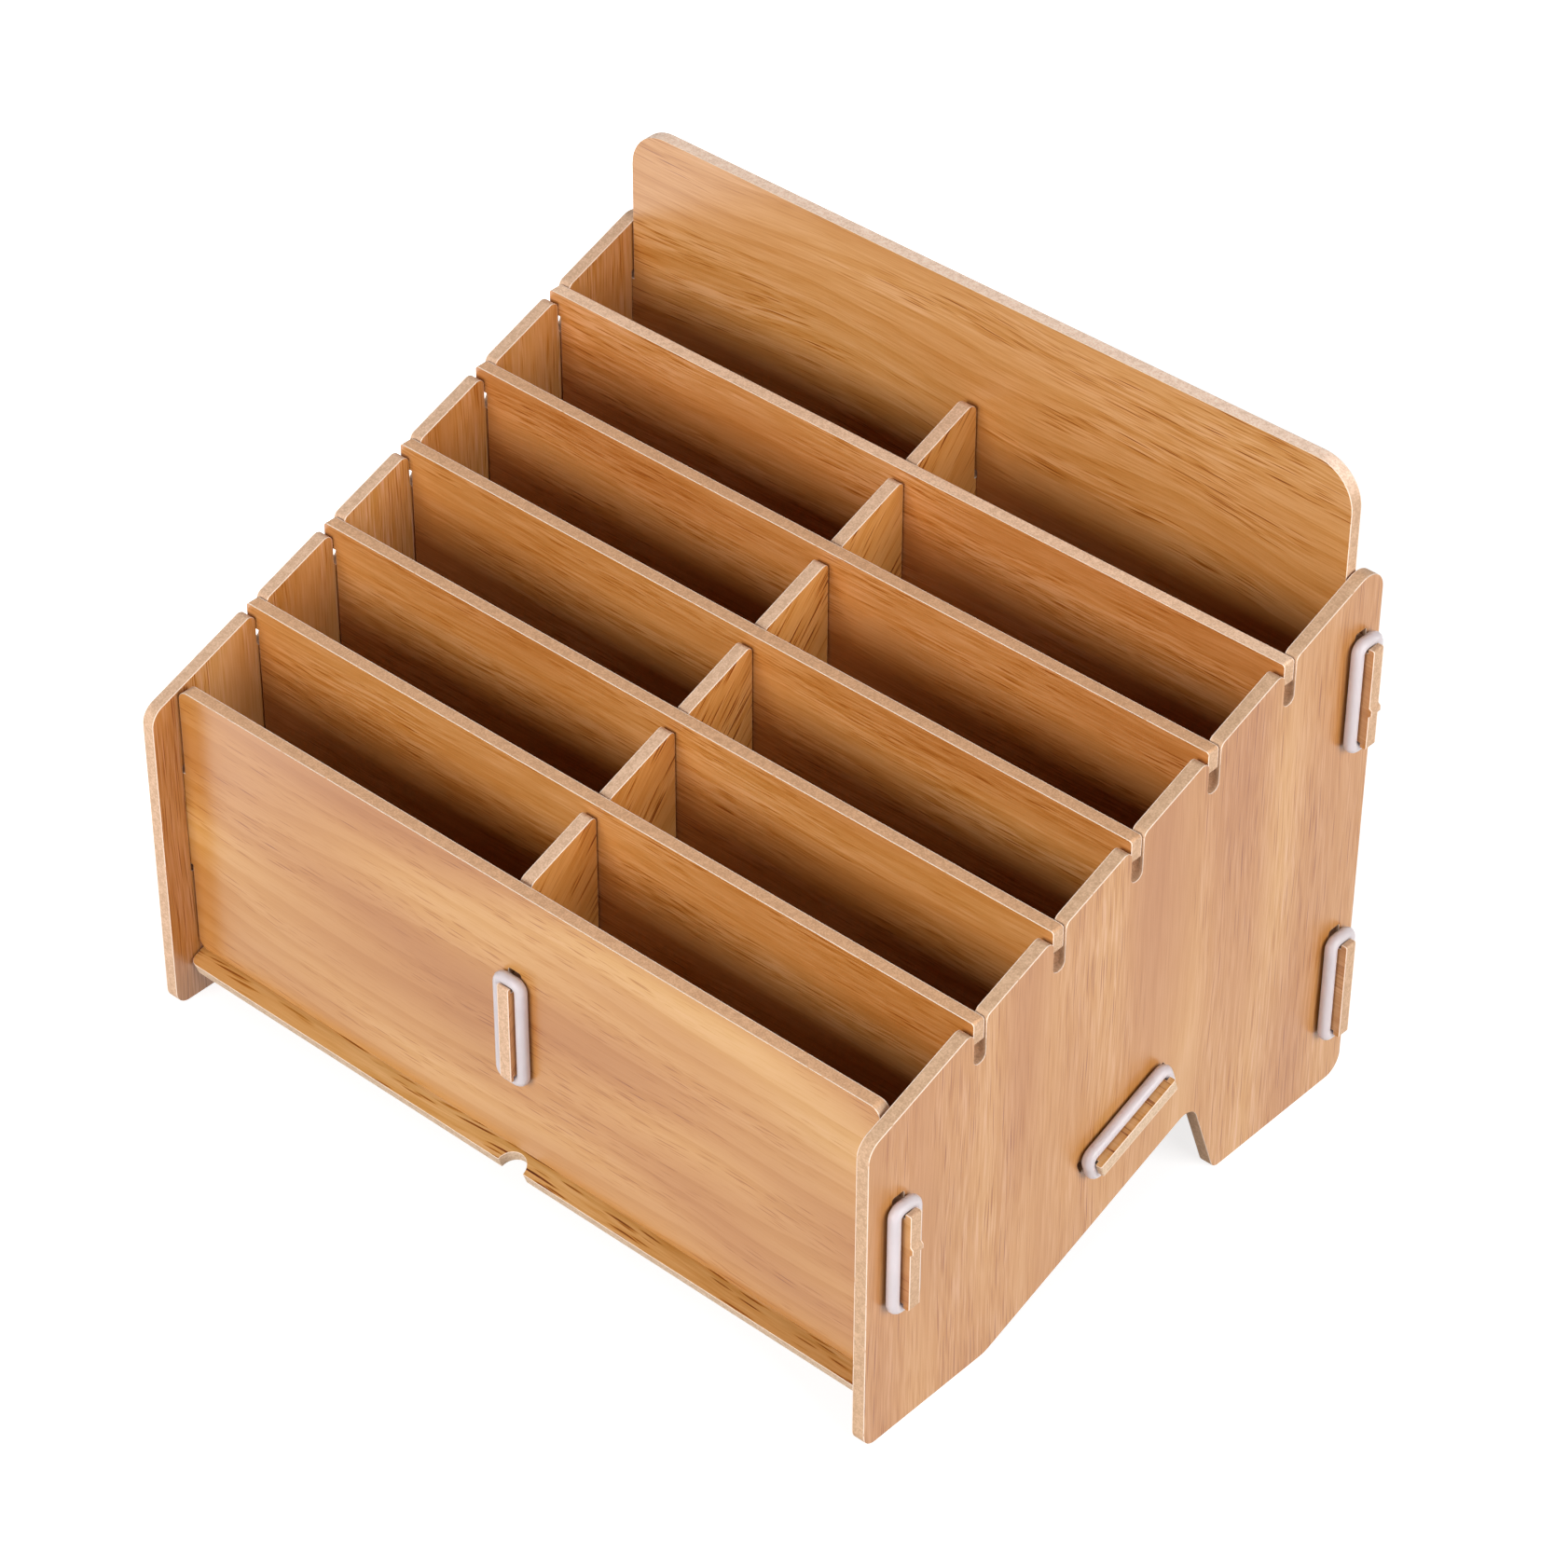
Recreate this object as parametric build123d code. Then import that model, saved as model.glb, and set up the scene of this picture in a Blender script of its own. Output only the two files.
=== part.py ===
from build123d import *
import math
import os

# Raked storage box of thin laminated board, held by tabs, slots and elastic rings.
# Millimetres and degrees. X runs to the right, Y to the back and Z up.
# The origin lies on the table, under the middle of the box.

# Overall sizes
width = 200.0  # across the outer faces of the side panels
depth = 152.6  # front edge to rear edge of the side panels
front_height = 78.4  # raked top of the sides, above their front edge
back_height = 155.6  # top of the back panel above the table
board = 3.2  # thickness of every board
rake = 20.0  # slope of the rows, rising to the back
upright = 90.0  # slope of a tab that stands along Z
rows = 6  # compartments from front to back

# Places of the boards
front_inset = 7.1  # front edge of the sides to the front panel's face
rear_inset = 4.6  # rear edge of the sides to the back panel's rear face
floor_height = 11.8  # top of the bottom panel under the front panel's face
back_bottom = 3.0  # lower edge of the back panel above the table
ledge = 3.5  # bottom panel in front of the front panel, along its slope

# Clearances
edge_gap = 0.45  # end of a board to the face it stands against
seat_gap = 0.1  # board edge above the bottom panel it sits on
slot_side_gap = 0.15  # each side of a board in a slot
slot_end_gap = 2.0  # each end of a tab in its slot
tongue_end_gap = 0.5  # end of a tongue inside the outer face of a side panel
lap_side_gap = 0.3  # each side of a board in a half-lap
divider_floor_gap = 0.3  # cross divider above the bottom panel
ring_gap = 0.05  # ring to the faces of the tab inside it
ring_end_gap = 0.25  # ring to the ends of the tab's neck
overrun = 2.0  # how far a cut or a tab's root runs past the face it meets

# Side panels
front_top_corner = 4.5  # radii of the outer corners
rear_top_corner = 5.3
rear_bottom_corner = 4.5
toe_corner = 3.3
front_foot = 36.3  # length of the front foot on the table
rear_foot = 42.9  # length of the rear foot on the table
arch_start_radius = 8.0  # where the arch leaves the front foot
arch_peak_radius = 4.5  # inner corner of the arch
heel_radius = 2.6  # front corner of the rear foot
divider_slot_depth = 9.9  # open-top slots below the raked edge
slot_mouth_radius = 1.8  # rounded corners at the mouth of these slots
slot_floor_radius = 1.6  # rounded corners at their floor

# Tabs, with a groove at both ends for the ring
tab_length = 24.5
tab_tip_radius = 0.45
side_tab_reach = 4.6  # past the outer face of a side panel
centre_tab_reach = 3.6  # past the face of the front or back panel
groove_depth = 1.1  # at each end of a tab
front_tab_drop = 34.4  # middle of the front panel's tabs below its top
centre_tab_drop = 35.2  # middle of the centre divider's front tab below the same top
upper_tab_drop = 27.1  # middle of the back panel's upper tabs below the raked edge
lower_tab_height = 28.2  # middle of its lower tabs above the table
floor_tab_shift = 0.75  # middle of the bottom panel's tabs in front of the middle of the rows
tab_slot_radius = 0.5  # corners of the slots that tabs pass through

# Rings
ring_cord = 2.7  # thickness of the elastic
ring_corner = 1.75  # bend of its middle line round the corners of a tab
side_ring_standoff = 0.35  # ring to the outer face of a side panel

# Break-off nibs, left where a board was snapped from its sheet
nib_length = 2.2
nib_height = 0.6
nib_slant = 0.5  # each end of a nib
front_nib_rise = 3.4  # above the middle of the front panel's tabs
upper_nib_drop = 2.9  # below the middle of the back panel's upper tabs

# Front, back and bottom panels
front_corner = 2.5
back_top_corner = 9.5
back_bottom_corner = 2.5
bottom_corner = 2.0
notch_radius = 3.5  # half-round notch in the middle of the ledge

# Dividers
divider_proud = 0.4  # top of a cross divider or the front panel above the raked edge at its middle
tongue_height = 5.7  # tongue in the side panel's slot
tongue_radius = 0.8
divider_corner = 1.5  # lower corners of a cross divider
lap_share = 0.5  # of a cross divider's height, from below, that is cut for the half-lap
lap_mouth_radius = 1.2
centre_drop = 0.9  # centre divider's top below the raked edge
centre_front_corner = 2.5
centre_rear_corner = 2.0

# Values that follow from the sizes above
front_edge = -depth / 2
rear_edge = depth / 2
inner_face = width / 2 - board
panel_half = inner_face - edge_gap
front_face = front_edge + front_inset
back_rear_face = rear_edge - rear_inset
front_middle = front_face + board / 2
back_middle = back_rear_face - board / 2
row_pitch = (back_middle - front_middle) / rows
divider_places = [front_middle + row_pitch * k for k in range(1, rows)]
rake_sine = math.sin(math.radians(rake))
rake_cosine = math.cos(math.radians(rake))
slot_width = board + 2 * slot_side_gap
tongue_end = width / 2 - tongue_end_gap
tab_slot_length = tab_length + 2 * slot_end_gap
neck_length = tab_length - 2 * groove_depth
centre_ring_standoff = ring_gap
side_ring_place = width / 2 + side_ring_standoff + ring_cord / 2
centre_ring_offset = centre_ring_standoff + ring_cord / 2


def rise(run):
    return run * math.tan(math.radians(rake))


def top_line(y):
    return front_height + rise(y - front_edge)


def floor_line(y):
    return floor_height + rise(y - front_face)


front_bottom = floor_line(front_face + board) + seat_gap
front_top = top_line(front_middle) + divider_proud
front_tab_height = front_top - front_tab_drop
centre_tab_height = front_top - centre_tab_drop
centre_rear_tab_height = centre_tab_height + rise(back_rear_face - front_face)
upper_tab_height = top_line(back_middle) - upper_tab_drop
floor_normal = Vector(0, -rake_sine, rake_cosine)
floor_plane = Plane(
    origin=Vector(0, front_face, floor_height) - floor_normal * (board / 2),
    x_dir=(1, 0, 0),
    z_dir=floor_normal,
)
floor_end = (back_middle - board / 2 - edge_gap - board * rake_sine - front_face) / rake_cosine
floor_tab_place = ((front_middle + back_middle) / 2 - front_face) / rake_cosine - floor_tab_shift
floor_tab = floor_plane.from_local_coords((0, floor_tab_place, 0))


def outline(corners):
    points = [(u, v) for u, v, radius in corners]
    radii = [radius for u, v, radius in corners]
    return make_face(FilletPolyline(*points, radius=radii, close=True))


def plate(face, plane):
    return extrude(plane * face, amount=board / 2, both=True)


def tab(root, groove_start, reach):
    # U runs outwards from the face that the tab comes through, V along the tab.
    groove_end = groove_start + ring_cord + 2 * ring_gap
    half = tab_length / 2
    neck = neck_length / 2
    lower = [
        (-root, -half, 0),
        (groove_start, -half, 0),
        (groove_start, -neck, 0),
        (groove_end, -neck, 0),
        (groove_end, -half, 0),
        (reach, -half, tab_tip_radius),
    ]
    upper = [(u, -v, radius) for u, v, radius in reversed(lower)]
    return outline(lower + upper)


def nib(reach, middle):
    half = nib_length / 2
    return make_face(
        Polyline(
            (reach - overrun, middle - half),
            (reach, middle - half),
            (reach + nib_height, middle - half + nib_slant),
            (reach + nib_height, middle + half - nib_slant),
            (reach, middle + half),
            (reach - overrun, middle + half),
            close=True,
        )
    )


def side_tab():
    return tab(board + edge_gap + overrun, side_ring_standoff - ring_gap, side_tab_reach)


def centre_tab():
    return tab(board + edge_gap + overrun, centre_ring_standoff - ring_gap, centre_tab_reach)


def both_ends(face):
    return face + mirror(face, about=Plane.YZ)


def tab_slot(u, v, slope):
    slot = RectangleRounded(tab_slot_length, slot_width, tab_slot_radius)
    return Pos(u, v) * Rot(0, 0, slope) * slot


def side_face():
    foot_end = front_edge + front_foot
    heel = rear_edge - rear_foot
    arch = heel - foot_end
    corners = [
        (front_edge, 0, toe_corner),
        (foot_end, 0, arch_start_radius),
        (heel - arch * rake_sine**2, arch * rake_sine * rake_cosine, arch_peak_radius),
        (heel, 0, heel_radius),
        (rear_edge, 0, rear_bottom_corner),
        (rear_edge, top_line(rear_edge), rear_top_corner),
    ]
    half = slot_width / 2
    for place in reversed(divider_places):
        slot_floor = top_line(place) - divider_slot_depth
        corners += [
            (place + half, top_line(place + half), slot_mouth_radius),
            (place + half, slot_floor, slot_floor_radius),
            (place - half, slot_floor, slot_floor_radius),
            (place - half, top_line(place - half), slot_mouth_radius),
        ]
    corners.append((front_edge, front_height, front_top_corner))
    face = outline(corners)
    face -= tab_slot(front_middle, front_tab_height, upright)
    face -= tab_slot(back_middle, upper_tab_height, upright)
    face -= tab_slot(back_middle, lower_tab_height, upright)
    face -= tab_slot(floor_tab.Y, floor_tab.Z, rake)
    return face


def side_panel(side):
    return plate(side_face(), Plane.YZ.offset(side * (width / 2 - board / 2)))


def front_panel():
    face = outline(
        [
            (-panel_half, front_bottom, front_corner),
            (panel_half, front_bottom, front_corner),
            (panel_half, front_top, front_corner),
            (-panel_half, front_top, front_corner),
        ]
    )
    end = side_tab() + nib(side_tab_reach, front_nib_rise)
    face += both_ends(Pos(width / 2, front_tab_height) * end)
    face -= tab_slot(0, centre_tab_height, upright)
    return plate(face, Plane.XZ.offset(-front_middle))


def back_panel():
    face = outline(
        [
            (-panel_half, back_bottom, back_bottom_corner),
            (panel_half, back_bottom, back_bottom_corner),
            (panel_half, back_height, back_top_corner),
            (-panel_half, back_height, back_top_corner),
        ]
    )
    upper_end = side_tab() + nib(side_tab_reach, -upper_nib_drop)
    face += both_ends(Pos(width / 2, upper_tab_height) * upper_end)
    face += both_ends(Pos(width / 2, lower_tab_height) * side_tab())
    face -= tab_slot(0, centre_rear_tab_height, upright)
    return plate(face, Plane.XZ.offset(-back_middle))


def bottom_panel():
    face = outline(
        [
            (-panel_half, -ledge, bottom_corner),
            (panel_half, -ledge, bottom_corner),
            (panel_half, floor_end, bottom_corner),
            (-panel_half, floor_end, bottom_corner),
        ]
    )
    face += both_ends(Pos(width / 2, floor_tab_place) * side_tab())
    face -= Pos(0, -ledge) * Circle(notch_radius)
    return plate(face, floor_plane)


def cross_divider_levels(place):
    bottom = floor_line(place + board / 2) + divider_floor_gap
    top = top_line(place) + divider_proud
    return bottom, bottom + (top - bottom) * lap_share, top


def centre_divider():
    front = front_face + board + edge_gap
    rear = back_middle - board / 2 - edge_gap
    half = board / 2 + lap_side_gap
    corners = [
        (front, floor_line(front) + seat_gap, 0),
        (rear, floor_line(rear) + seat_gap, 0),
        (rear, top_line(rear) - centre_drop, centre_rear_corner),
    ]
    for place in reversed(divider_places):
        lap = cross_divider_levels(place)[1]
        corners += [
            (place + half, top_line(place + half) - centre_drop, lap_mouth_radius),
            (place + half, lap, 0),
            (place - half, lap, 0),
            (place - half, top_line(place - half) - centre_drop, lap_mouth_radius),
        ]
    corners.append((front, top_line(front) - centre_drop, centre_front_corner))
    face = outline(corners)
    face += Pos(front_face, centre_tab_height) * mirror(centre_tab(), about=Plane.YZ)
    face += Pos(back_rear_face, centre_rear_tab_height) * centre_tab()
    return plate(face, Plane.YZ)


def cross_divider(place):
    bottom, lap, top = cross_divider_levels(place)
    half = board / 2 + lap_side_gap
    right = [
        (half, lap, 0),
        (half, bottom, lap_mouth_radius),
        (panel_half, bottom, divider_corner),
        (panel_half, top - tongue_height, 0),
        (tongue_end, top - tongue_height, tongue_radius),
        (tongue_end, top, tongue_radius),
    ]
    left = [(-u, v, radius) for u, v, radius in reversed(right)]
    return plate(outline(right + left), Plane.XZ.offset(-place))


def ring(plane):
    # A round cord bent to a long loop round the neck of a tab.
    across = board + 2 * ring_gap + ring_cord
    along = neck_length + 2 * ring_end_gap + ring_cord
    path = RectangleRounded(across, along, ring_corner).wire()
    section = Plane(origin=path @ 0, z_dir=path % 0) * Circle(ring_cord / 2)
    return plane * sweep(section, path=path)


def side_ring(side, y, z, across):
    return ring(Plane(origin=(side * side_ring_place, y, z), x_dir=across, z_dir=(1, 0, 0)))


def centre_ring(y, z):
    return ring(Plane(origin=(0, y, z), x_dir=(1, 0, 0), z_dir=(0, -1, 0)))


nodes = {
    "front_panel": front_panel(),
    "back_panel": back_panel(),
    "bottom_panel": bottom_panel(),
    "centre_divider": centre_divider(),
    "centre_front_ring": centre_ring(front_face - centre_ring_offset, centre_tab_height),
    "centre_rear_ring": centre_ring(back_rear_face + centre_ring_offset, centre_rear_tab_height),
}
for number, place in enumerate(divider_places, start=1):
    nodes[f"cross_divider_{number}"] = cross_divider(place)
for name, side in (("left", -1), ("right", 1)):
    nodes[f"{name}_side_panel"] = side_panel(side)
    nodes[f"front_ring_{name}"] = side_ring(side, front_middle, front_tab_height, (0, 1, 0))
    nodes[f"upper_back_ring_{name}"] = side_ring(side, back_middle, upper_tab_height, (0, 1, 0))
    nodes[f"lower_back_ring_{name}"] = side_ring(side, back_middle, lower_tab_height, (0, 1, 0))
    nodes[f"bottom_ring_{name}"] = side_ring(side, floor_tab.Y, floor_tab.Z, floor_normal)

os.makedirs("parts", exist_ok=True)
for name, shape in nodes.items():
    shape.label = name
    export_step(shape, f"parts/{name}.step")
    print(name, round(shape.volume, 1))
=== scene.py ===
import math

import bmesh
import bpy
from mathutils import Matrix, Vector


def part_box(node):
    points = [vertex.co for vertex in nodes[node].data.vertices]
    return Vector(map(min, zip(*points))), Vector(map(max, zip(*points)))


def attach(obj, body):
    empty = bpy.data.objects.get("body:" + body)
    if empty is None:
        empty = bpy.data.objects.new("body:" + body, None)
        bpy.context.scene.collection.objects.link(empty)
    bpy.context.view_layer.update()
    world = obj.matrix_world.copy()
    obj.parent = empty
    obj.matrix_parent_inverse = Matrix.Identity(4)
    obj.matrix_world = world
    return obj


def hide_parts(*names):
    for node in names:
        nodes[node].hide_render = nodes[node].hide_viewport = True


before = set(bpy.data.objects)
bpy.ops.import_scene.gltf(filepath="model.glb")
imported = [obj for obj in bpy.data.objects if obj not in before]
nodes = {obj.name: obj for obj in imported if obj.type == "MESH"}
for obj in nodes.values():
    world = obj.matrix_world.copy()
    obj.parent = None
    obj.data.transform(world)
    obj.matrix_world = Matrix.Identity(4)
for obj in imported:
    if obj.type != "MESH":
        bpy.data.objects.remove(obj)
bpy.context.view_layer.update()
mm = 0.001


class Wire:
    # one socket in a node tree; sums and products of wires become Math nodes
    def __init__(self, tree, socket=None):
        self.tree = tree
        self.socket = socket

    def node(self, kind, settings={}, sockets={}, output=0):
        made = self.tree.nodes.new(kind)
        for name, value in settings.items():
            setattr(made, name, value)
        for name, value in sockets.items():
            if isinstance(value, Wire):
                self.tree.links.new(value.socket, made.inputs[name])
            else:
                made.inputs[name].default_value = value
        return Wire(self.tree, made.outputs[output] if made.outputs else None)

    def maths(self, operation, *values):
        return self.node("ShaderNodeMath", {"operation": operation}, dict(enumerate(values)))

    def __add__(self, other):
        return self.maths("ADD", self, other)

    __radd__ = __add__

    def __sub__(self, other):
        return self.maths("SUBTRACT", self, other)

    def __rsub__(self, other):
        return self.maths("SUBTRACT", other, self)

    def __mul__(self, other):
        return self.maths("MULTIPLY", self, other)

    __rmul__ = __mul__

    def __abs__(self):
        return self.maths("ABSOLUTE", self)

    def atLeast(self, other):
        return self.maths("MAXIMUM", self, other)

    def rise(self, low, high):  # 0 below low, 1 above high, smooth between
        sockets = {"Value": self, "From Min": low, "From Max": high}
        return self.node("ShaderNodeMapRange", {"interpolation_type": "SMOOTHSTEP"}, sockets)


# where a Mix node keeps its share, its two colours and its result
mixShare, mixFirst, mixSecond, mixResult = 0, 6, 7, 2


def blendColour(share, first, second):
    sockets = {mixShare: share, mixFirst: first, mixSecond: second}
    return share.node("ShaderNodeMix", {"data_type": "RGBA"}, sockets, mixResult)


def tintColour(colour, tint):
    sockets = {mixShare: 1.0, mixFirst: colour, mixSecond: tint}
    return colour.node("ShaderNodeMix", {"data_type": "RGBA", "blend_type": "MULTIPLY"}, sockets, mixResult)


def grey(value):
    return (value, value, value, 1)


def newFinish(name):
    made = bpy.data.materials.new(name)
    made.use_nodes = True
    made.node_tree.nodes.clear()
    return made, Wire(made.node_tree)


# camera, from the photo's viewing angle
cameraSettings = {
    "place": (0.56203, -0.61511, 0.72751), "turn": 41.92, "tip": 38.36, "roll": 0.27,
    "lens": 118.42, "sensor": 36,
}


def addCamera(settings):
    lens = bpy.data.cameras.new("view")
    lens.lens = settings["lens"]
    lens.sensor_width = settings["sensor"]
    camera = bpy.data.objects.new("view", lens)
    bpy.context.scene.collection.objects.link(camera)
    turn = Matrix.Rotation(math.radians(settings["turn"]), 4, "Z")
    tip = Matrix.Rotation(math.radians(90 - settings["tip"]), 4, "X")
    roll = Matrix.Rotation(math.radians(settings["roll"]), 4, "Z")
    camera.matrix_world = Matrix.Translation(settings["place"]) @ turn @ tip @ roll
    bpy.context.scene.camera = camera


addCamera(cameraSettings)
print("camera set")

# studio: a soft box before each lit side, a weaker one behind, an even world and a white paper floor
studioSettings = {
    "world": 0.1, "paper": 0.4, "paperSeen": 0.4, "paperGlow": 0.8, "floorSize": 4.0,
    "leftGlow": 1.5, "leftFrom": -0.11, "leftTo": -0.17,  # paper glowing brighter than white to the left, a painted light patch that the boards reflect
    "farGlow": 1.0, "farFrom": 0.7, "farTo": 1.2,  # even white far from the box
}
boxSettings = {
    "front_softbox": {"turn": -3.0, "rise": 22.0, "away": 1.6, "wide": 1.2, "tall": 1.0, "power": 26.0},
    "right_softbox": {"turn": 94.0, "rise": 23.0, "away": 1.6, "wide": 1.2, "tall": 1.0, "power": 26.0},
    "backdrop_bounce": {"turn": 222.0, "rise": 20.0, "away": 1.6, "wide": 2.0, "tall": 1.0, "power": 14.0},
}


def addStudio(settings, boxes):
    world = bpy.data.worlds.new("studio")
    world.use_nodes = True
    world.node_tree.nodes.clear()
    bpy.context.scene.world = world
    start = Wire(world.node_tree)
    light = start.node("ShaderNodeBackground", {}, {"Color": grey(1), "Strength": settings["world"]})
    seen = start.node("ShaderNodeBackground", {}, {"Color": grey(1), "Strength": 1.0})
    isSeen = start.node("ShaderNodeLightPath", {}, {}, "Is Camera Ray")
    both = start.node("ShaderNodeMixShader", {}, {0: isSeen, 1: light, 2: seen})
    start.node("ShaderNodeOutputWorld", {}, {"Surface": both})

    for name, box in boxes.items():
        lamp = bpy.data.lights.new(name, "AREA")
        lamp.shape = "RECTANGLE"
        lamp.size, lamp.size_y, lamp.energy = box["wide"], box["tall"], box["power"]
        turn, rise = math.radians(box["turn"]), math.radians(box["rise"])
        back = Vector((math.sin(turn) * math.cos(rise), -math.cos(turn) * math.cos(rise), math.sin(rise)))
        aim = back.to_track_quat("Z", "Y").to_matrix().to_4x4()
        stand = bpy.data.objects.new(name, lamp)
        stand.matrix_world = Matrix.Translation(back * box["away"]) @ aim
        bpy.context.scene.collection.objects.link(stand)

    half = settings["floorSize"] / 2
    corners = [(-half, -half, 0), (half, -half, 0), (half, half, 0), (-half, half, 0)]
    sheet = bpy.data.meshes.new("paper_floor")
    sheet.from_pydata(corners, [], [(0, 1, 2, 3)])
    floor = bpy.data.objects.new("paper_floor", sheet)
    bpy.context.scene.collection.objects.link(floor)
    finish, start = newFinish("white_paper")
    bounce = start.node("ShaderNodeBsdfDiffuse", {}, {"Color": grey(settings["paper"])})
    shade = start.node("ShaderNodeBsdfDiffuse", {}, {"Color": grey(settings["paperSeen"])})
    spot = start.node("ShaderNodeTexCoord", {}, {}, "Object")
    across = start.node("ShaderNodeSeparateXYZ", {}, {0: spot}, "X")
    away = start.node("ShaderNodeVectorMath", {"operation": "LENGTH"}, {0: spot}, "Value")
    near = grey(settings["paperGlow"] / settings["leftGlow"])
    far = grey(settings["farGlow"] / settings["leftGlow"])
    # the paper's glow rises to the left: a painted light patch, seen in the boards' reflections
    paper = blendColour(across.rise(settings["leftTo"], settings["leftFrom"]), grey(1), near)
    paper = blendColour(away.rise(settings["farFrom"], settings["farTo"]), paper, far)
    glow = start.node("ShaderNodeEmission", {}, {"Color": paper, "Strength": settings["leftGlow"]})
    shown = start.node("ShaderNodeAddShader", {}, {0: shade, 1: glow})
    kinds = "Is Camera Ray", "Is Glossy Ray", "Is Transmission Ray"
    byCamera, byGloss, byGlass = [start.node("ShaderNodeLightPath", {}, {}, kind) for kind in kinds]
    isSeen = byCamera.atLeast(byGloss).atLeast(byGlass)
    surface = start.node("ShaderNodeMixShader", {}, {0: isSeen, 1: bounce, 2: shown})
    start.node("ShaderNodeOutputMaterial", {}, {"Surface": surface})
    sheet.materials.append(finish)


addStudio(studioSettings, boxSettings)
bpy.context.scene.view_settings.view_transform = "Standard"
print("studio set")

# laminated boards: printed wood on both faces, raw fibreboard on the cut edges
xAxis, yAxis, zAxis = (1, 0, 0), (0, 1, 0), (0, 0, 1)
slope = math.radians(20)  # of the rows and the bottom panel
slopeUp = (0, math.cos(slope), math.sin(slope))
slopeOut = (0, -math.sin(slope), math.cos(slope))
slant = math.radians(48)  # of the centre divider's grain
slantUp = (0, math.cos(slant), math.sin(slant))
slantOut = (0, -math.sin(slant), math.cos(slant))
thickness = 3.2

# the printed grains: sway, dashLong and dashWide in millimetres, zones per millimetre along and across
# the grain, the others are strengths
deepStain, warmStain = (0.78, 0.62, 0.22), (0.78, 0.64, 0.34)
printSettings = {
    "straight": {
        "stain": deepStain, "sway": 9.0, "bands": 2.8, "rings": 0.2, "fibre": 2.2,
        "dashes": 2.3, "dashLong": 24.0, "dashWide": 0.52, "zoneLow": 0.36, "zones": (0.008, 0.06)},
    "calm": {
        "stain": deepStain, "sway": 16.0, "bands": 3.6, "rings": 0.35, "fibre": 0.8,
        "dashes": 1.7, "dashLong": 13.0, "dashWide": 0.66, "zoneLow": 0.44, "zones": (0.02, 0.12)},
    "curved": {
        "stain": warmStain, "sway": 22.0, "bands": 1.4, "rings": 0.4, "fibre": 2.8,
        "dashes": 3.2, "dashLong": 20.0, "dashWide": 0.6, "zoneLow": 0.42, "zones": (0.02, 0.12)},
    "combed": {
        "stain": warmStain, "sway": 7.0, "bands": 2.2, "rings": 0.3, "fibre": 3.8,
        "dashes": 2.0, "dashLong": 12.0, "dashWide": 0.6, "zoneLow": 0.4, "zones": (0.02, 0.12)},
    "bold": {
        "stain": warmStain, "sway": 12.0, "bands": 2.0, "rings": 0.3, "fibre": 1.8,
        "dashes": 5.5, "dashLong": 22.0, "dashWide": 0.9, "zoneLow": 0.38, "zones": (0.02, 0.12)},
}

# raw edge colours; a crown is the colour of a board's top edge alone. The cream crown is painted light on the
# back panel's top edge; the pale crown is partly a paler edge tone and partly painted light on the fifth
# divider's top edge
tanCore, paleCrownToneAndLight, creamCrownPaintedLight = (0.81, 0.47, 0.255), (1.05, 0.745, 0.525), (1.15, 0.86, 0.68)
buffCore, greyCore = (0.76, 0.50, 0.33), (0.72, 0.53, 0.37)
sideCore, endCore = (0.68, 0.435, 0.265), (0.64, 0.41, 0.255)
upright = {"grain": xAxis, "across": zAxis, "out": yAxis}
sideways = {"grain": zAxis, "across": yAxis, "out": xAxis, "print": "straight"}
divider = {**upright, "print": "combed", "core": endCore, "crown": tanCore, "tint": (1.0, 1.0, 1.0)}
boardSettings = {
    "front_panel": {
        **upright, "middle": -67.6, "print": "calm", "seed": 203.7,
        "core": endCore, "crown": tanCore, "tint": (1.0, 1.07, 1.24)},
    # the back panel's cream crown, over its top 8 mm, is painted light on its top edge
    "back_panel": {
        **upright, "middle": 70.1, "print": "curved",
        "core": endCore, "crown": creamCrownPaintedLight, "crownDepth": 8.0, "tint": (1.08, 1.2, 1.42)},
    "left_side_panel": {**sideways, "middle": -98.4, "core": buffCore, "tint": (1.1, 1.22, 1.9)},
    "right_side_panel": {**sideways, "middle": 98.4, "core": sideCore, "tint": (0.97, 1.05, 1.38)},
    "bottom_panel": {
        "grain": xAxis, "across": slopeUp, "out": slopeOut, "middle": 33.157, "print": "bold",
        "core": greyCore, "tint": (1.15, 1.38, 1.62)},
    "centre_divider": {
        "grain": slantUp, "across": slantOut, "out": xAxis, "middle": 0.0, "print": "bold",
        "core": buffCore, "tint": (1.2, 1.28, 1.3)},
    "cross_divider_1": {**divider, "middle": -44.65},
    "cross_divider_2": {**divider, "middle": -21.7},
    "cross_divider_3": {**divider, "middle": 1.25},
    "cross_divider_4": {**divider, "middle": 24.2, "tint": (0.98, 0.92, 0.92)},
    # the fifth divider's pale crown is partly a paler edge tone and partly painted light
    "cross_divider_5": {**divider, "middle": 47.15, "crown": paleCrownToneAndLight, "tint": (1.02, 0.97, 1.02)},
}
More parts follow.
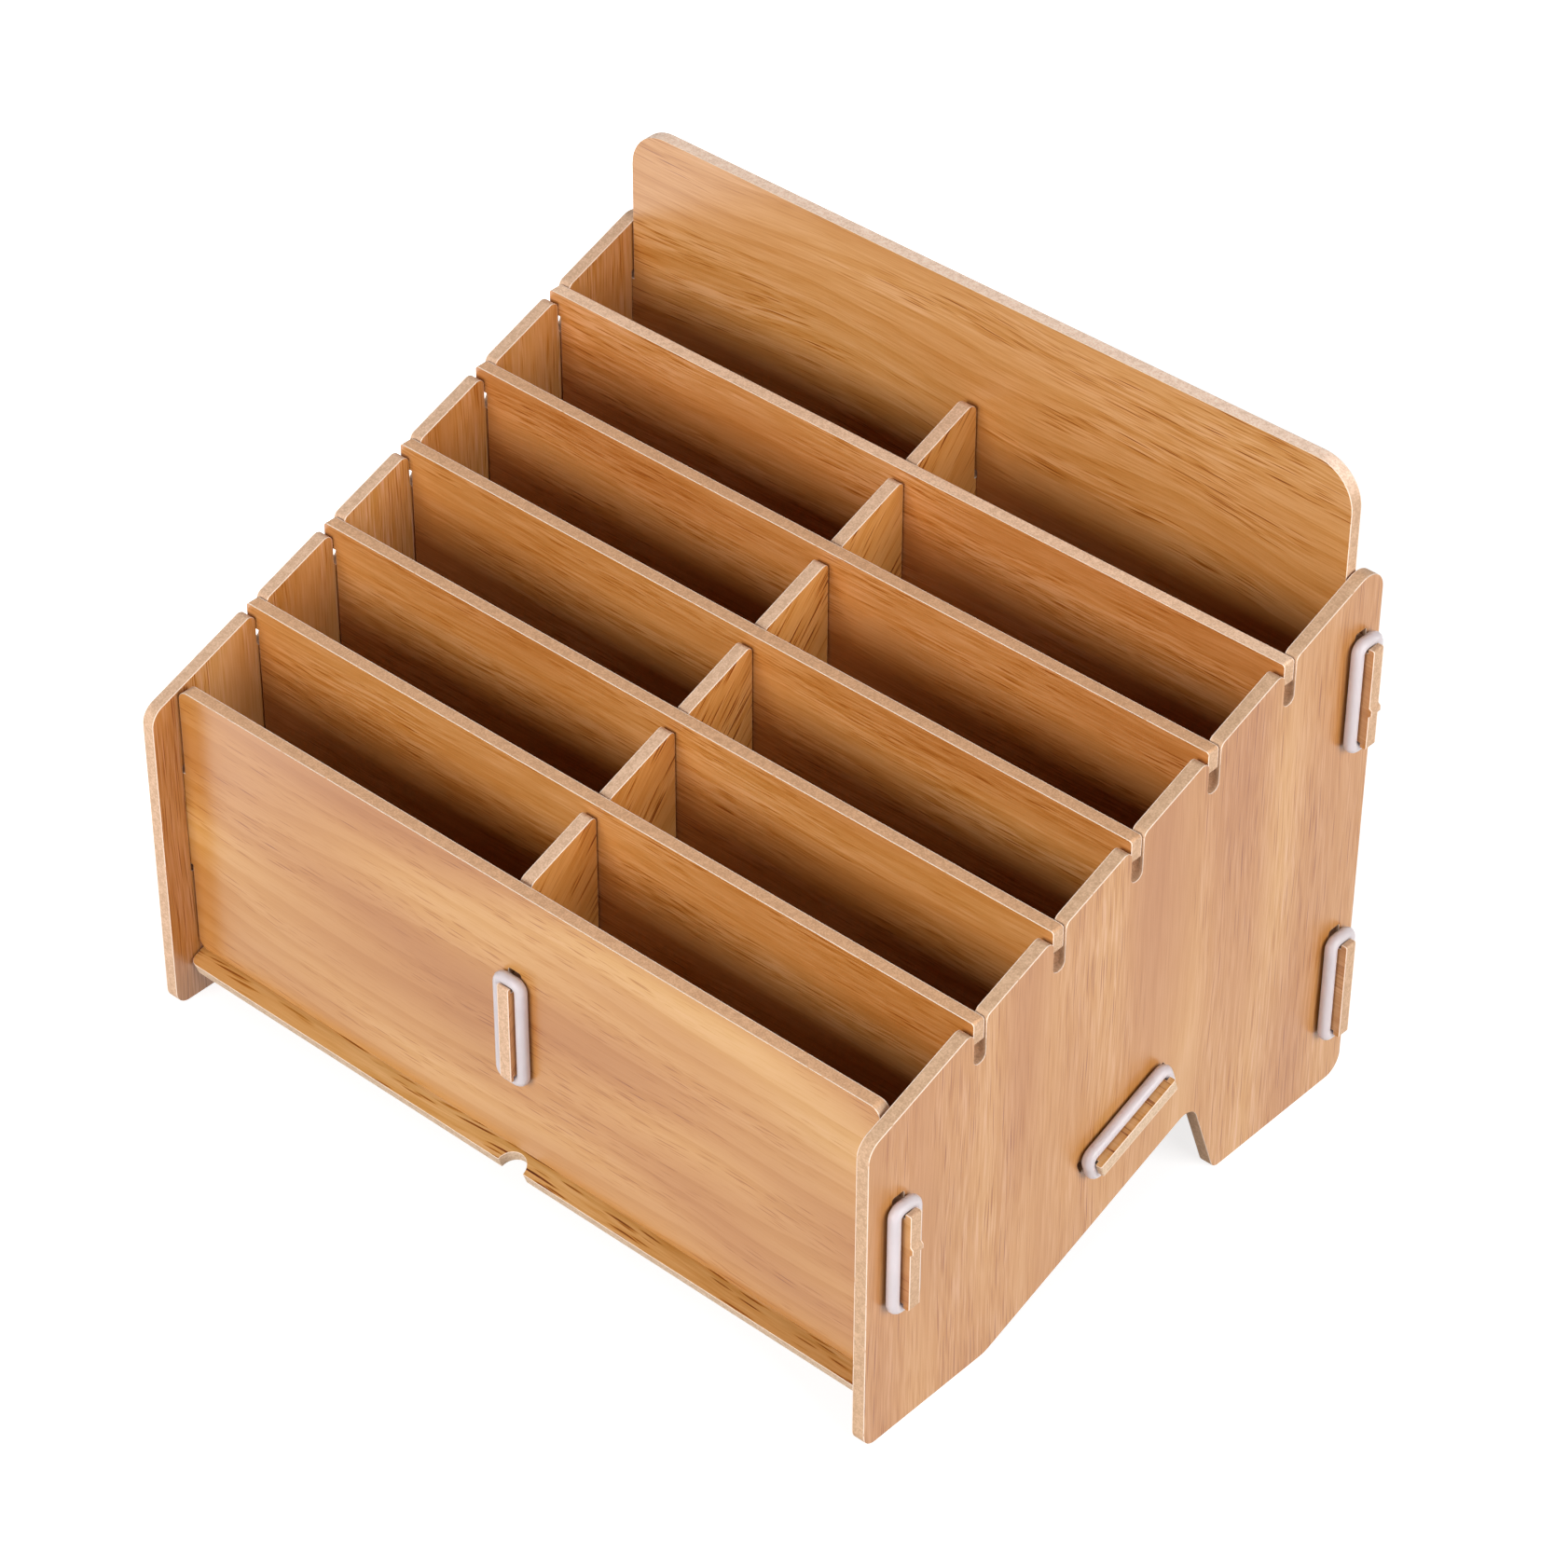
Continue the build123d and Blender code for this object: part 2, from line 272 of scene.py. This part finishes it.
laminateSettings = {
    "pale": (0.732, 0.409, 0.197), "bandStain": (0.78, 0.63, 0.45), "depth": 0.45, "leastStain": 0.01,
    "ior": 1.6, "gloss": 0.8, "faceRough": 0.3, "roughMottle": 0.06, "seedStep": 7.31,
    # grain that all prints share: noise scales per millimetre along and across the grain
    "faceShift": (31.0, 47.0), "swayScale": (0.006, 0.013), "rippleScale": (0.03, 0.06), "ripple": 1.6,
    "bandScale": (0.01, 0.05), "yearScale": (0.004, 0.03), "yearsPerMm": 0.16, "yearDrift": 5.0,
    "lateFrom": 0.35, "lateTo": 0.96, "fibreScale": (0.08, 2.4), "fibreInZone": 0.8, "fibreAnywhere": 0.5,
    "zoneSoft": 0.2, "dashFade": (0.12, 0.3), "dashInZone": 0.85, "dashAnywhere": 0.15,
    "shortDash": {"long": 0.6, "wide": 0.8, "share": 0.6}, "mottleScale": (0.1, 0.2),
    # cut edges: speckles per metre, widths in millimetres
    "coreStain": (0.86, 0.83, 0.79), "coreRough": 0.85, "coreFade": (0.34, 0.66), "coreDepth": 2.0,
    "speckScale": 2600.0, "gritScale": 700.0, "speckShare": 0.6, "speckDetail": 2.0, "relief": 0.04,
    "cream": (0.88, 0.70, 0.56), "lineWidth": 0.3, "lineSoft": 0.6, "lineBreaks": (0.2, 0.42),
    "lineDetail": 1.0, "faceSkin": 0.02, "crownDepth": 0.5, "crownEnd": 0.1,
}
arrisSettings = {"width": 0.14, "segments": 2, "sharp": 35, "flat": 0.4, "weldGap": 1e-6, "normalWeight": 50}


def grainNoise(u, v, perMm, seed, detail=2.0):
    spot = u.node("ShaderNodeCombineXYZ", {}, {"X": u * perMm[0], "Y": v * perMm[1], "Z": seed})
    return u.node("ShaderNodeTexNoise", {}, {"Vector": spot, "Scale": 1.0, "Detail": detail}, "Fac")


def grainDashes(u, v, long, wide, seed, fade):
    # slim dark lenses scattered along the grain
    spot = u.node("ShaderNodeCombineXYZ", {}, {"X": u * (1 / long), "Y": v * (1 / wide), "Z": seed})
    near = u.node("ShaderNodeTexVoronoi", {}, {"Vector": spot, "Scale": 1.0}, "Distance")
    return 1 - near.rise(*fade)


def laminateFinish(name, board, seed, look):
    finish, start = newFinish("laminate_" + name)
    spot = start.node("ShaderNodeTexCoord", {}, {}, "Object")
    grain = printSettings[board["print"]]

    def measure(direction):  # millimetres along a direction of the board
        sockets = {0: spot, 1: direction}
        return start.node("ShaderNodeVectorMath", {"operation": "DOT_PRODUCT"}, sockets, "Value") * (1 / mm)

    def speckle(perMetre, detail):
        sockets = {"Vector": spot, "Scale": perMetre, "Detail": detail}
        return start.node("ShaderNodeTexNoise", {}, sockets, "Fac")

    def darken(colour, amount):  # a stain laid on by an amount
        sockets = {"Color": (*colour, 1), "Gamma": amount}
        return amount.node("ShaderNodeGamma", {}, sockets)

    # the two faces of a board carry different parts of the print
    lift = measure(board["out"]) - board["middle"]
    depth = thickness / 2 - abs(lift)
    face = lift.maths("SIGN", lift)
    u = measure(board["grain"]) + face * look["faceShift"][0]
    v = measure(board["across"]) + face * look["faceShift"][1]
    sway = grainNoise(u, v, look["swayScale"], seed) - 0.5
    ripple = grainNoise(u, v, look["rippleScale"], seed + 3) - 0.5
    v = v + sway * grain["sway"] + ripple * look["ripple"]

    # broad bands, growth rings that darken to a sharp end, fibre, and dark dashes in patches
    bands = grainNoise(u, v, look["bandScale"], seed + 5, 1.0) - 0.5
    years = v * look["yearsPerMm"] + grainNoise(u, v, look["yearScale"], seed + 6) * look["yearDrift"]
    ring = years.maths("FRACT", years)
    late = ring.rise(look["lateFrom"], look["lateTo"]) * (1 - ring.rise(look["lateTo"], 1.0))
    fibre = grainNoise(u, v, look["fibreScale"], seed + 9) - 0.5
    zones = grainNoise(u, v, grain["zones"], seed + 13)
    zones = zones.rise(grain["zoneLow"], grain["zoneLow"] + look["zoneSoft"])
    long, wide, short = grain["dashLong"], grain["dashWide"], look["shortDash"]
    dashes = grainDashes(u, v, long, wide, seed, look["dashFade"])
    shortDashes = grainDashes(u, v, long * short["long"], wide * short["wide"], seed + 4, look["dashFade"])
    dashes = (dashes + shortDashes * short["share"]) * (zones * look["dashInZone"] + look["dashAnywhere"])
    fibre = fibre * (zones * look["fibreInZone"] + look["fibreAnywhere"])
    dark = late * grain["rings"] + fibre * grain["fibre"] + dashes * grain["dashes"] + look["depth"]
    stain = darken(grain["stain"], dark.atLeast(look["leastStain"]))
    band = darken(look["bandStain"], (bands * grain["bands"] + 1.0).atLeast(look["leastStain"]))
    pale = tuple(part * share for part, share in zip(look["pale"], board["tint"])) + (1,)
    wood = tintColour(tintColour(stain, band), pale)

    # raw fibreboard between two pale lines of paper
    speck = speckle(look["speckScale"], look["speckDetail"])
    grit = speckle(look["gritScale"], look["speckDetail"])
    mixed = speck * look["speckShare"] + grit * (1 - look["speckShare"])
    coreStain = darken(look["coreStain"], mixed.rise(*look["coreFade"]) * look["coreDepth"])
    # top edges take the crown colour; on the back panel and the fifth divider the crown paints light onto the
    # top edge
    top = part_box(name)[1].z / mm
    crownDepth = board.get("crownDepth", look["crownDepth"])
    isCrown = measure(zAxis).rise(top - crownDepth, top - look["crownEnd"])
    raw = blendColour(isCrown, (*board["core"], 1), (*board.get("crown", board["core"]), 1))
    line = 1 - depth.rise(look["lineWidth"] * look["lineSoft"], look["lineWidth"])
    line = line * speckle(look["gritScale"], look["lineDetail"]).rise(*look["lineBreaks"])
    core = blendColour(line, tintColour(coreStain, raw), (*look["cream"], 1))

    isEdge = depth.rise(look["faceSkin"], look["faceSkin"] * 2)
    colour = blendColour(isEdge, wood, core)
    mottle = grainNoise(u, v, look["mottleScale"], seed + 17) - 0.5
    faceRough = mottle * look["roughMottle"] + look["faceRough"]
    rough = faceRough + isEdge * (look["coreRough"] - faceRough)
    height = isEdge * speck * look["relief"]
    bump = start.node("ShaderNodeBump", {}, {"Strength": 0.4, "Distance": 0.001, "Height": height})
    surface = start.node("ShaderNodeBsdfPrincipled", {}, {
        "Base Color": colour, "Roughness": rough, "Normal": bump,
        "IOR": look["ior"], "Specular IOR Level": look["gloss"]})
    start.node("ShaderNodeOutputMaterial", {}, {"Surface": surface})
    return finish


def smoothingTree():
    tree = bpy.data.node_groups.new("shade_smooth", "GeometryNodeTree")
    tree.interface.new_socket("Geometry", in_out="INPUT", socket_type="NodeSocketGeometry")
    tree.interface.new_socket("Geometry", in_out="OUTPUT", socket_type="NodeSocketGeometry")
    start = Wire(tree)
    shape = start.node("NodeGroupInput")
    smooth = start.node("GeometryNodeSetShadeSmooth", {}, {"Geometry": shape})
    start.node("NodeGroupOutput", {}, {"Geometry": smooth})
    return tree


smoothing = smoothingTree()


def easeArris(board, settings):
    weld = board.modifiers.new("weld", "WELD")
    weld.merge_threshold = settings["weldGap"]
    merge = board.modifiers.new("merge", "DECIMATE")
    merge.decimate_type = "DISSOLVE"
    merge.angle_limit = math.radians(settings["flat"])
    bevel = board.modifiers.new("arris", "BEVEL")
    bevel.width = settings["width"] * mm
    bevel.segments = settings["segments"]
    bevel.limit_method = "ANGLE"
    bevel.angle_limit = math.radians(settings["sharp"])
    bevel.use_clamp_overlap = False
    smooth = board.modifiers.new("smooth", "NODES")
    smooth.node_group = smoothing
    normals = board.modifiers.new("normals", "WEIGHTED_NORMAL")
    normals.weight = settings["normalWeight"]


for number, (name, board) in enumerate(boardSettings.items(), start=1):
    panel = nodes[name]
    seed = board.get("seed", number * laminateSettings["seedStep"])
    panel.data.materials[0] = laminateFinish(name, board, seed, laminateSettings)
    easeArris(panel, arrisSettings)
print("boards finished:", len(boardSettings))

# elastic rings stretched round the tabs, in millimetres
ringSettings = {
    "across": 3.0, "along": 12.75, "corner": 1.75, "cord": 1.35, "pathSteps": 120, "cordSteps": 28,
}
ringPlaces = {
    "front_ring": {"side": True, "spot": (101.7, -67.6, 47.57), "long": zAxis},
    "bottom_ring": {"side": True, "spot": (101.7, 1.09, 35.68), "long": slopeUp},
    "upper_back_ring": {"side": True, "spot": (101.7, 70.1, 104.585), "long": zAxis},
    "lower_back_ring": {"side": True, "spot": (101.7, 70.1, 28.2), "long": zAxis},
    "centre_front_ring": {"side": False, "spot": (0, -70.6, 46.77), "long": zAxis},
    "centre_rear_ring": {"side": False, "spot": (0, 73.1, 98.05), "long": zAxis},
}
siliconeSettings = {
    "milk": (0.58, 0.53, 0.545, 1), "paleMilk": (0.62, 0.565, 0.58, 1), "rough": 0.3, "roughCloud": 0.08,
    "cloudScale": 120.0, "cloudFade": (0.3, 0.7), "dustScale": 2600.0, "noiseDetail": 2.0, "ior": 1.42,
    "deepTint": (1.0, 0.92, 0.96), "deep": 0.002,
    "sheen": 0.2, "sheenRough": 0.35, "sheenTint": (1.0, 0.95, 0.92, 1),
}


def ringFinish(look):
    finish, start = newFinish("milky_silicone")
    spot = start.node("ShaderNodeTexCoord", {}, {}, "Object")

    def noise(perMetre):
        sockets = {"Vector": spot, "Scale": perMetre, "Detail": look["noiseDetail"]}
        return start.node("ShaderNodeTexNoise", {}, sockets, "Fac")

    cloud = noise(look["cloudScale"])
    colour = blendColour(cloud.rise(*look["cloudFade"]), look["milk"], look["paleMilk"])
    dust = noise(look["dustScale"])
    bump = start.node("ShaderNodeBump", {}, {"Strength": 0.06, "Distance": 0.0001, "Height": dust})
    surface = start.node("ShaderNodeBsdfPrincipled", {}, {
        "Base Color": colour, "Roughness": cloud * look["roughCloud"] + look["rough"], "Normal": bump,
        "IOR": look["ior"], "Subsurface Weight": 1.0, "Subsurface Radius": look["deepTint"],
        "Subsurface Scale": look["deep"], "Sheen Weight": look["sheen"], "Sheen Roughness": look["sheenRough"],
        "Sheen Tint": look["sheenTint"]})
    start.node("ShaderNodeOutputMaterial", {}, {"Surface": surface})
    return finish


def ringPath(settings):
    # even steps round a rounded rectangle, with the outward direction at each
    radius = settings["corner"]
    halves = settings["across"] - radius, settings["along"] - radius
    legs = []
    for quarter in range(4):
        run = halves[1 - quarter % 2] * 2
        legs.append((quarter, "run", run))
        legs.append((quarter, "bend", math.pi / 2 * radius))
    length = sum(leg[2] for leg in legs)
    for step in range(settings["pathSteps"]):
        far = length * step / settings["pathSteps"]
        for quarter, kind, size in legs:
            if far < size:
                break
            far -= size
        turn = Matrix.Rotation(math.pi / 2 * quarter, 2)
        wide, tall = halves if quarter % 2 == 0 else halves[::-1]
        if kind == "run":
            yield turn @ Vector((wide + radius, far - tall)), turn @ Vector((1, 0))
        else:
            angle = far / radius
            away = Vector((math.cos(angle), math.sin(angle)))
            yield turn @ (Vector((wide, tall)) + away * radius), turn @ away


def addRing(name, spot, long, out, settings, finish):
    spot, long, out = Vector(spot), Vector(long), Vector(out)
    wide = long.cross(out)
    shape = bmesh.new()
    loops = []
    for centre, outward in ringPath(settings):
        middle = spot + wide * centre.x + long * centre.y
        away = wide * outward.x + long * outward.y
        loop = []
        for turn in range(settings["cordSteps"]):
            angle = 2 * math.pi * turn / settings["cordSteps"]
            reach = away * math.cos(angle) + out * math.sin(angle)
            loop.append(shape.verts.new((middle + reach * settings["cord"]) * mm))
        loops.append(loop)
    for one, two in zip(loops, loops[1:] + loops[:1]):
        for k in range(len(one)):
            shape.faces.new((one[k - 1], one[k], two[k], two[k - 1])).smooth = True
    bmesh.ops.recalc_face_normals(shape, faces=shape.faces[:])
    mesh = bpy.data.meshes.new("soft_" + name)
    shape.to_mesh(mesh)
    shape.free()
    mesh.materials.append(finish)
    ring = bpy.data.objects.new("soft_" + name, mesh)
    bpy.context.scene.collection.objects.link(ring)
    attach(ring, "box")
    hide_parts(name)


silicone = ringFinish(siliconeSettings)
for name, place in ringPlaces.items():
    if place["side"]:
        x, y, z = place["spot"]
        addRing(name + "_right", (x, y, z), place["long"], xAxis, ringSettings, silicone)
        addRing(name + "_left", (-x, y, z), place["long"], xAxis, ringSettings, silicone)
    else:
        addRing(name, place["spot"], place["long"], yAxis, ringSettings, silicone)
print("rings added")
